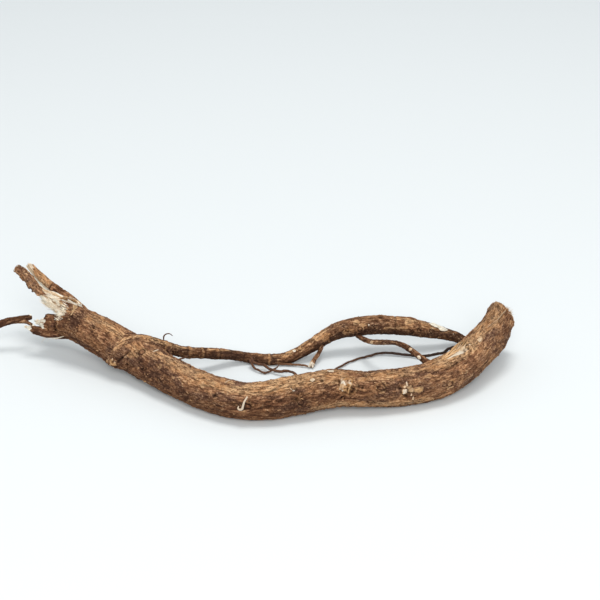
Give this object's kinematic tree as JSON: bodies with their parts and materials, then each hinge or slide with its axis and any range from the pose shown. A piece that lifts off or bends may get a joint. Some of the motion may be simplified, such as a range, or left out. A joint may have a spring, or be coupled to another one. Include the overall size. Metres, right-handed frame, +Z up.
{
  "type": "siberian ginseng root",
  "caption": "Dried siberian ginseng root with a lateral root and rootlets, broken off at one end and sawn at the other, lying on a surface.",
  "frame": {"origin": "middle of the box around the lying root, on the surface that it lies on", "axes": "+X along the root from the torn end to the sawn end, +Y away from the bow of the main root, +Z up"},
  "size_m": [0.3165, 0.1141, 0.0443],
  "materials": {
    "bark": "rough dry brown bark, wrinkled lengthways, with tan scuffed patches",
    "pale_wood": "matte cream splintered wood with loose fibres",
    "hair_root": "matte dark thin rootlets"
  },
  "bodies": {
    "root": {"ginseng_root": "bark"}
  },
  "joints": []
}
